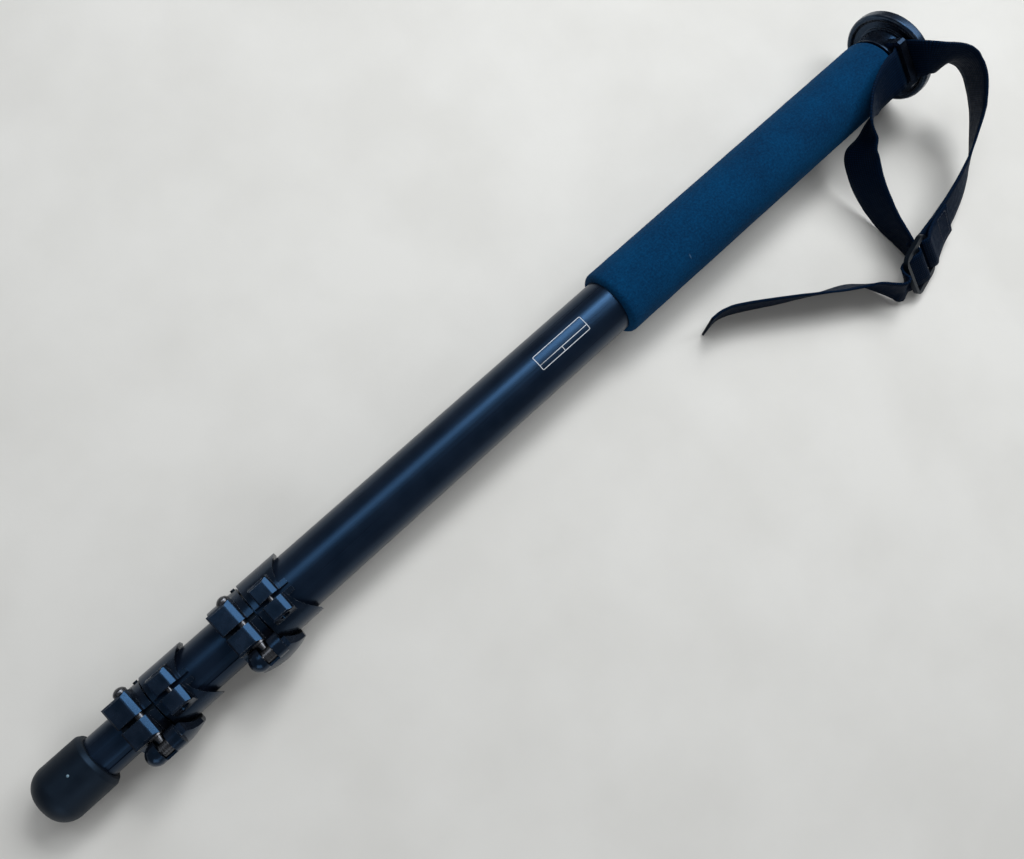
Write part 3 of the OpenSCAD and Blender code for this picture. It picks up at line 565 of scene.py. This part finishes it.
def foamGrip():
    g = grip
    corners = [(g["high"], g["inner"]), (g["high"], g["outer"]), (g["low"], g["outer"]), (g["low"], g["inner"])]
    bm, verts = outline(corners)
    bmesh.ops.bevel(bm, geom=verts[1:3], offset=g["round"] * mm, segments=g["roundSteps"], profile=0.5,
                    affect="VERTICES", clamp_overlap=True, material=-1)
    outer = [e for e in bm.edges if e.verts[0].co.z > g["outside"] * mm]
    long = max(outer, key=lambda e: e.calc_length())
    bmesh.ops.subdivide_edges(bm, edges=[long], cuts=g["rows"])
    spinRound(bm, g["steps"])
    for v in bm.verts:
        r = math.hypot(v.co.y, v.co.z)
        if r > (g["outer"] - g["skin"]) * mm:
            dent = sum(share * abs(noise.noise(v.co * scale)) for scale, share in g["patches"])
            k = 1 - g["dent"] * mm * dent / r
            v.co.y *= k
            v.co.z *= k
    obj = addPiece("foamGrip", bm, "foam", "upper_section", smooth=80)
    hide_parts("foam_grip")


foamGrip()
print("grip made")

# strap: about the same stops as the solids have, in mm: middle of the tape and the way its width runs
tape = {"width": 25.0, "thick": 1.4, "steps": 10, "across": 6, "soften": 5.5, "slack": 1e-6}
bridge = {"turn": math.radians(36), "seat": 17.8, "clear": 0.3, "over": 22.6, "low": -16.8, "high": -11.3,
          "tubeTop": -20.2, "plateBack": -7.7}
slider = {"at": (-89.5, -111, -12), "turn": math.radians(194), "lean": math.radians(-45), "pitch": 11.7,
          "reach": 3.285}
rest = -30.5  # the plate's lowest point


def onBridge(x, height):
    return (x, -height * math.sin(bridge["turn"]), height * math.cos(bridge["turn"]))


sliderTurn = Matrix.Rotation(slider["turn"], 3, "Z") @ Matrix.Rotation(slider["lean"], 3, "X")


def onSlider(along, up, side=0):
    return Vector(slider["at"]) + sliderTurn @ Vector((along, side, up))


bridgeWay = (0, -math.cos(bridge["turn"]), -math.sin(bridge["turn"]))
sliderWay = sliderTurn @ Vector((0, 1, 0))
mid = bridge["seat"] + bridge["clear"] + tape["thick"] / 2
pitch, reach = slider["pitch"], slider["reach"]

# from the tail through the slider and up beside the grip to the bridge
longRoute = [
    ((-223, -48.5, rest + 16.6), (0.05, -0.1, -1)),
    ((-205, -50.5, rest + 16.3), (0.05, 0.05, -1)),
    ((-169, -71, rest + 15.4), (0, 0.2, -0.95)),
    ((-146, -84.5, rest + 14.6), (0, 0.36, -0.93)),
    ((-124, -97, rest + 14), (0.05, 0.4, -0.9)),
    (onSlider(pitch + 10, -2), (0.15, -0.15, -1)),
    (onSlider(pitch, -reach), sliderWay),
    (onSlider(0, reach), sliderWay),
    (onSlider(0.4 - pitch / 2, -3, 0.5), sliderWay),
    (onSlider(-0.6 - pitch / 2, -6, 1), (0.2, -0.55, -0.8)),
    ((-83.5, -102, rest + 13.5), (0.2, -0.4, -0.9)),
    ((-82, -92, rest + 14), (0.2, 0, -1)),
    ((-80.5, -75, rest + 15.2), (0, 0.2, -1)),
    ((-78, -58, -11), (-0.15, 0.35, -0.93)),
    ((-75, -45.5, -6), (-0.2, 0.45, -0.85)),
    ((-71, -35, 0.5), (-0.2, 0.45, -0.87)),
    ((-62, -30, 6.2), (0.2, 0.26, -0.92)),
    ((-55.5, -22.6, 14.6), (0.5, -0.24, -0.84)),
    ((-48, -17, 17.8), (0.25, -0.5, -0.82)),
    ((-37, -14.2, 18.6), (0.05, -0.68, -0.73)),
    (onBridge(bridge["tubeTop"] - 7, bridge["over"]), bridgeWay),
    (onBridge(bridge["tubeTop"] - 2, bridge["over"]), bridgeWay),
    (onBridge(bridge["low"], mid + 0.6), bridgeWay),
    (onBridge(bridge["low"] + 1.7, mid), bridgeWay),
]
# from the bridge round the loop to the slider's end bar and back to the sewn end
shortRoute = [
    (onBridge(bridge["low"] + 2, mid), bridgeWay),
    (onBridge(bridge["high"] - 0.4, mid + 0.1), bridgeWay),
    (onBridge(bridge["plateBack"] - 1.6, mid + 2), bridgeWay),
    (onBridge(bridge["plateBack"] - 1.6, mid + 7), bridgeWay),
    ((-9, -20, 27.2), (0.12, -0.64, -0.76)),
    ((-4.6, -25.6, 28.6), (0.28, -0.46, -0.84)),
    ((1.4, -29.2, 27.6), (0.38, -0.28, -0.88)),
    ((8, -32.2, 25.2), (0.42, -0.1, -0.9)),
    ((13.5, -36, 22), (0.33, 0.08, -0.94)),
    ((17, -41.5, 18.5), (0.24, 0.22, -0.94)),
    ((17.5, -48, 14.7), (0.25, 0.35, -0.9)),
    ((15, -55.5, 10), (0.38, 0.42, -0.82)),
    ((10, -65.5, 3), (0.45, 0.24, -0.86)),
    ((1, -75, -3), (0.45, 0, -0.9)),
    ((-10, -84, -7.3), (0.42, -0.22, -0.88)),
    ((-26.5, -93, -11.5), (0.3, -0.46, -0.83)),
    ((-44, -99, -13.7), (0.23, -0.58, -0.79)),
    ((-61, -103, rest + 16.6), (0.2, -0.66, -0.73)),
    (onSlider(-pitch - 5, 0.6 - reach), sliderWay),
    (onSlider(-pitch, -reach), sliderWay),
    (onSlider(reach - pitch, 0), sliderWay),
    (onSlider(-pitch, reach), sliderWay),
    (onSlider(-pitch - 6, reach - 1.6), sliderWay),
    ((-61, -104.4, rest + 18.1), (0.2, -0.66, -0.73)),
    ((-50, -102.2, rest + 18.5), (0.2, -0.62, -0.76)),
]


# smooth curve through b and c, with a and d as their neighbours
def between(a, b, c, d, t):
    return 0.5 * (2 * b + (c - a) * t + (2 * a - 5 * b + 4 * c - d) * t * t
                  + (3 * b - a - 3 * c + d) * t ** 3)


# rows along a route: place, direction and the way of the width, which eases so that the tape doesn't crease
def stations(route):
    stops = [(Vector(p), Vector(w)) for p, w in route]
    last = len(stops) - 1
    walk = []
    for i in range(last):
        four = [stops[min(max(i + k, 0), last)] for k in (-1, 0, 1, 2)]
        for j in range(tape["steps"]):
            t = j / tape["steps"]
            walk.append(tuple(between(*[s[n] for s in four], t) for n in (0, 1)))
    walk.append(stops[last])
    far = [0]
    for (p, w), (q, x) in zip(walk, walk[1:]):
        far.append(far[-1] + (q - p).length)
    soft = []
    for here, (place, way) in zip(far, walk):
        ease = min(tape["soften"], here, far[-1] - here) + tape["slack"]
        near = [w.normalized() for f, (p, w) in zip(far, walk) if abs(f - here) <= ease]
        soft.append((place, sum(near, Vector()) / len(near)))
    rows = []
    for i, (place, way) in enumerate(soft):
        along = (soft[min(i + 1, len(soft) - 1)][0] - soft[max(i - 1, 0)][0]).normalized()
        across = (way - way.dot(along) * along).normalized()
        rows.append((place, along, across))
    return rows


# where the short run bends edgeways beside the plate, its inner edge gathers and is eased
gather = {"rows": (31, 69), "times": 40}


def tapeRun(name, route, node, eased=None):
    rows = stations(route)
    n = tape["across"]
    sides = [(k / n - 0.5) * tape["width"] for k in range(n + 1)]
    grid = [[place + across * side for side in sides] for place, along, across in rows]
    if eased:
        for turn in range(eased["times"]):
            before = [line[:] for line in grid]
            for i in range(*eased["rows"]):
                trio = zip(before[i - 1], before[i], before[i + 1])
                grid[i] = [(a + 2 * b + c) / 4 for a, b, c in trio]
    bm = bmesh.new()
    uv = bm.loops.layers.uv.new("tape")
    spots = {}

    def seat(verts, line, far):
        for v, place, side in zip(verts, line, sides):
            v.co = place * mm
            spots[v] = (side * mm, far * mm)

    first = [bm.verts.new((0, 0, 0)) for k in range(n + 1)]
    seat(first, grid[0], 0)
    line = [bm.edges.new(pair) for pair in zip(first, first[1:])]
    far = 0
    for i in range(1, len(rows)):
        far += (rows[i][0] - rows[i - 1][0]).length
        made = bmesh.ops.extrude_edge_only(bm, edges=line)["geom"]
        line = [g for g in made if isinstance(g, bmesh.types.BMEdge)]
        fresh = [g for g in made if isinstance(g, bmesh.types.BMVert)]
        seat(fresh, grid[i], far)
    for face in bm.faces:
        for loop in face.loops:
            loop[uv].uv = spots[loop.vert]
    obj = addPiece(name, bm, "webbing", "upper_section", smooth=180)
    wall = obj.modifiers.new("wall", "SOLIDIFY")
    wall.thickness = tape["thick"] * mm
    wall.offset = 0
    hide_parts(node)
    return obj, far


longTape, longSize = tapeRun("strapLong", longRoute, "strap_long_run")
shortTape, shortSize = tapeRun("strapShort", shortRoute, "strap_short_run", gather)

# box of stitches through the end that is sewn back over six stops, in mm from that end and from the middle
stitch = {"long": 1.9, "thick": 0.42, "cells": (8, 5), "rows": (2.2, 13), "sides": (-9.8, 9.8), "step": 2.45,
          "proud": 0.05, "backStops": 6}


def sewnBox():
    s = stitch
    near, far = s["rows"]
    left, right = s["sides"]
    spots = []
    for gone in s["rows"]:
        count = int((right - left) / s["step"])
        spots += [(gone, left + (k + 0.5) * s["step"], "across") for k in range(count)]
    for side in s["sides"]:
        count = int((far - near) / s["step"])
        spots += [(near + (k + 0.5) * s["step"], side, "along") for k in range(count)]
    rows = stations(shortRoute)
    back = rows[::-1]
    walk, gone = [], 0
    for after, row in zip(back, back[1:]):
        gone += (after[0] - row[0]).length
        walk.append((gone, row))
    under = rows[:-s["backStops"] * tape["steps"]]
    rise = tape["thick"] / 2 + s["proud"]
    around, upward = s["cells"]
    bm = bmesh.new()
    for gone, side, way in spots:
        place, along, across = min(walk, key=lambda w: abs(w[0] - gone))[1]
        up = along.cross(across)
        below = min(under, key=lambda r: (r[0] - place).length)[0]
        if up.dot(place - below) < 0:
            up = -up
        lead = across if way == "across" else along
        turn = Matrix((lead, up.cross(lead), up)).transposed()
        made = bmesh.ops.create_uvsphere(bm, u_segments=around, v_segments=upward, radius=0.5)["verts"]
        bmesh.ops.scale(bm, verts=made, vec=(s["long"] * mm, s["thick"] * mm, s["thick"] * mm))
        bmesh.ops.rotate(bm, verts=made, matrix=turn)
        bmesh.ops.translate(bm, verts=made, vec=(place + across * side + up * rise) * mm)
    return addPiece("strapStitches", bm, "webbing", "upper_section", smooth=80, look=threadFinish)


stitches = sewnBox()
print("strap made:", round(longSize), "and", round(shortSize), "mm")
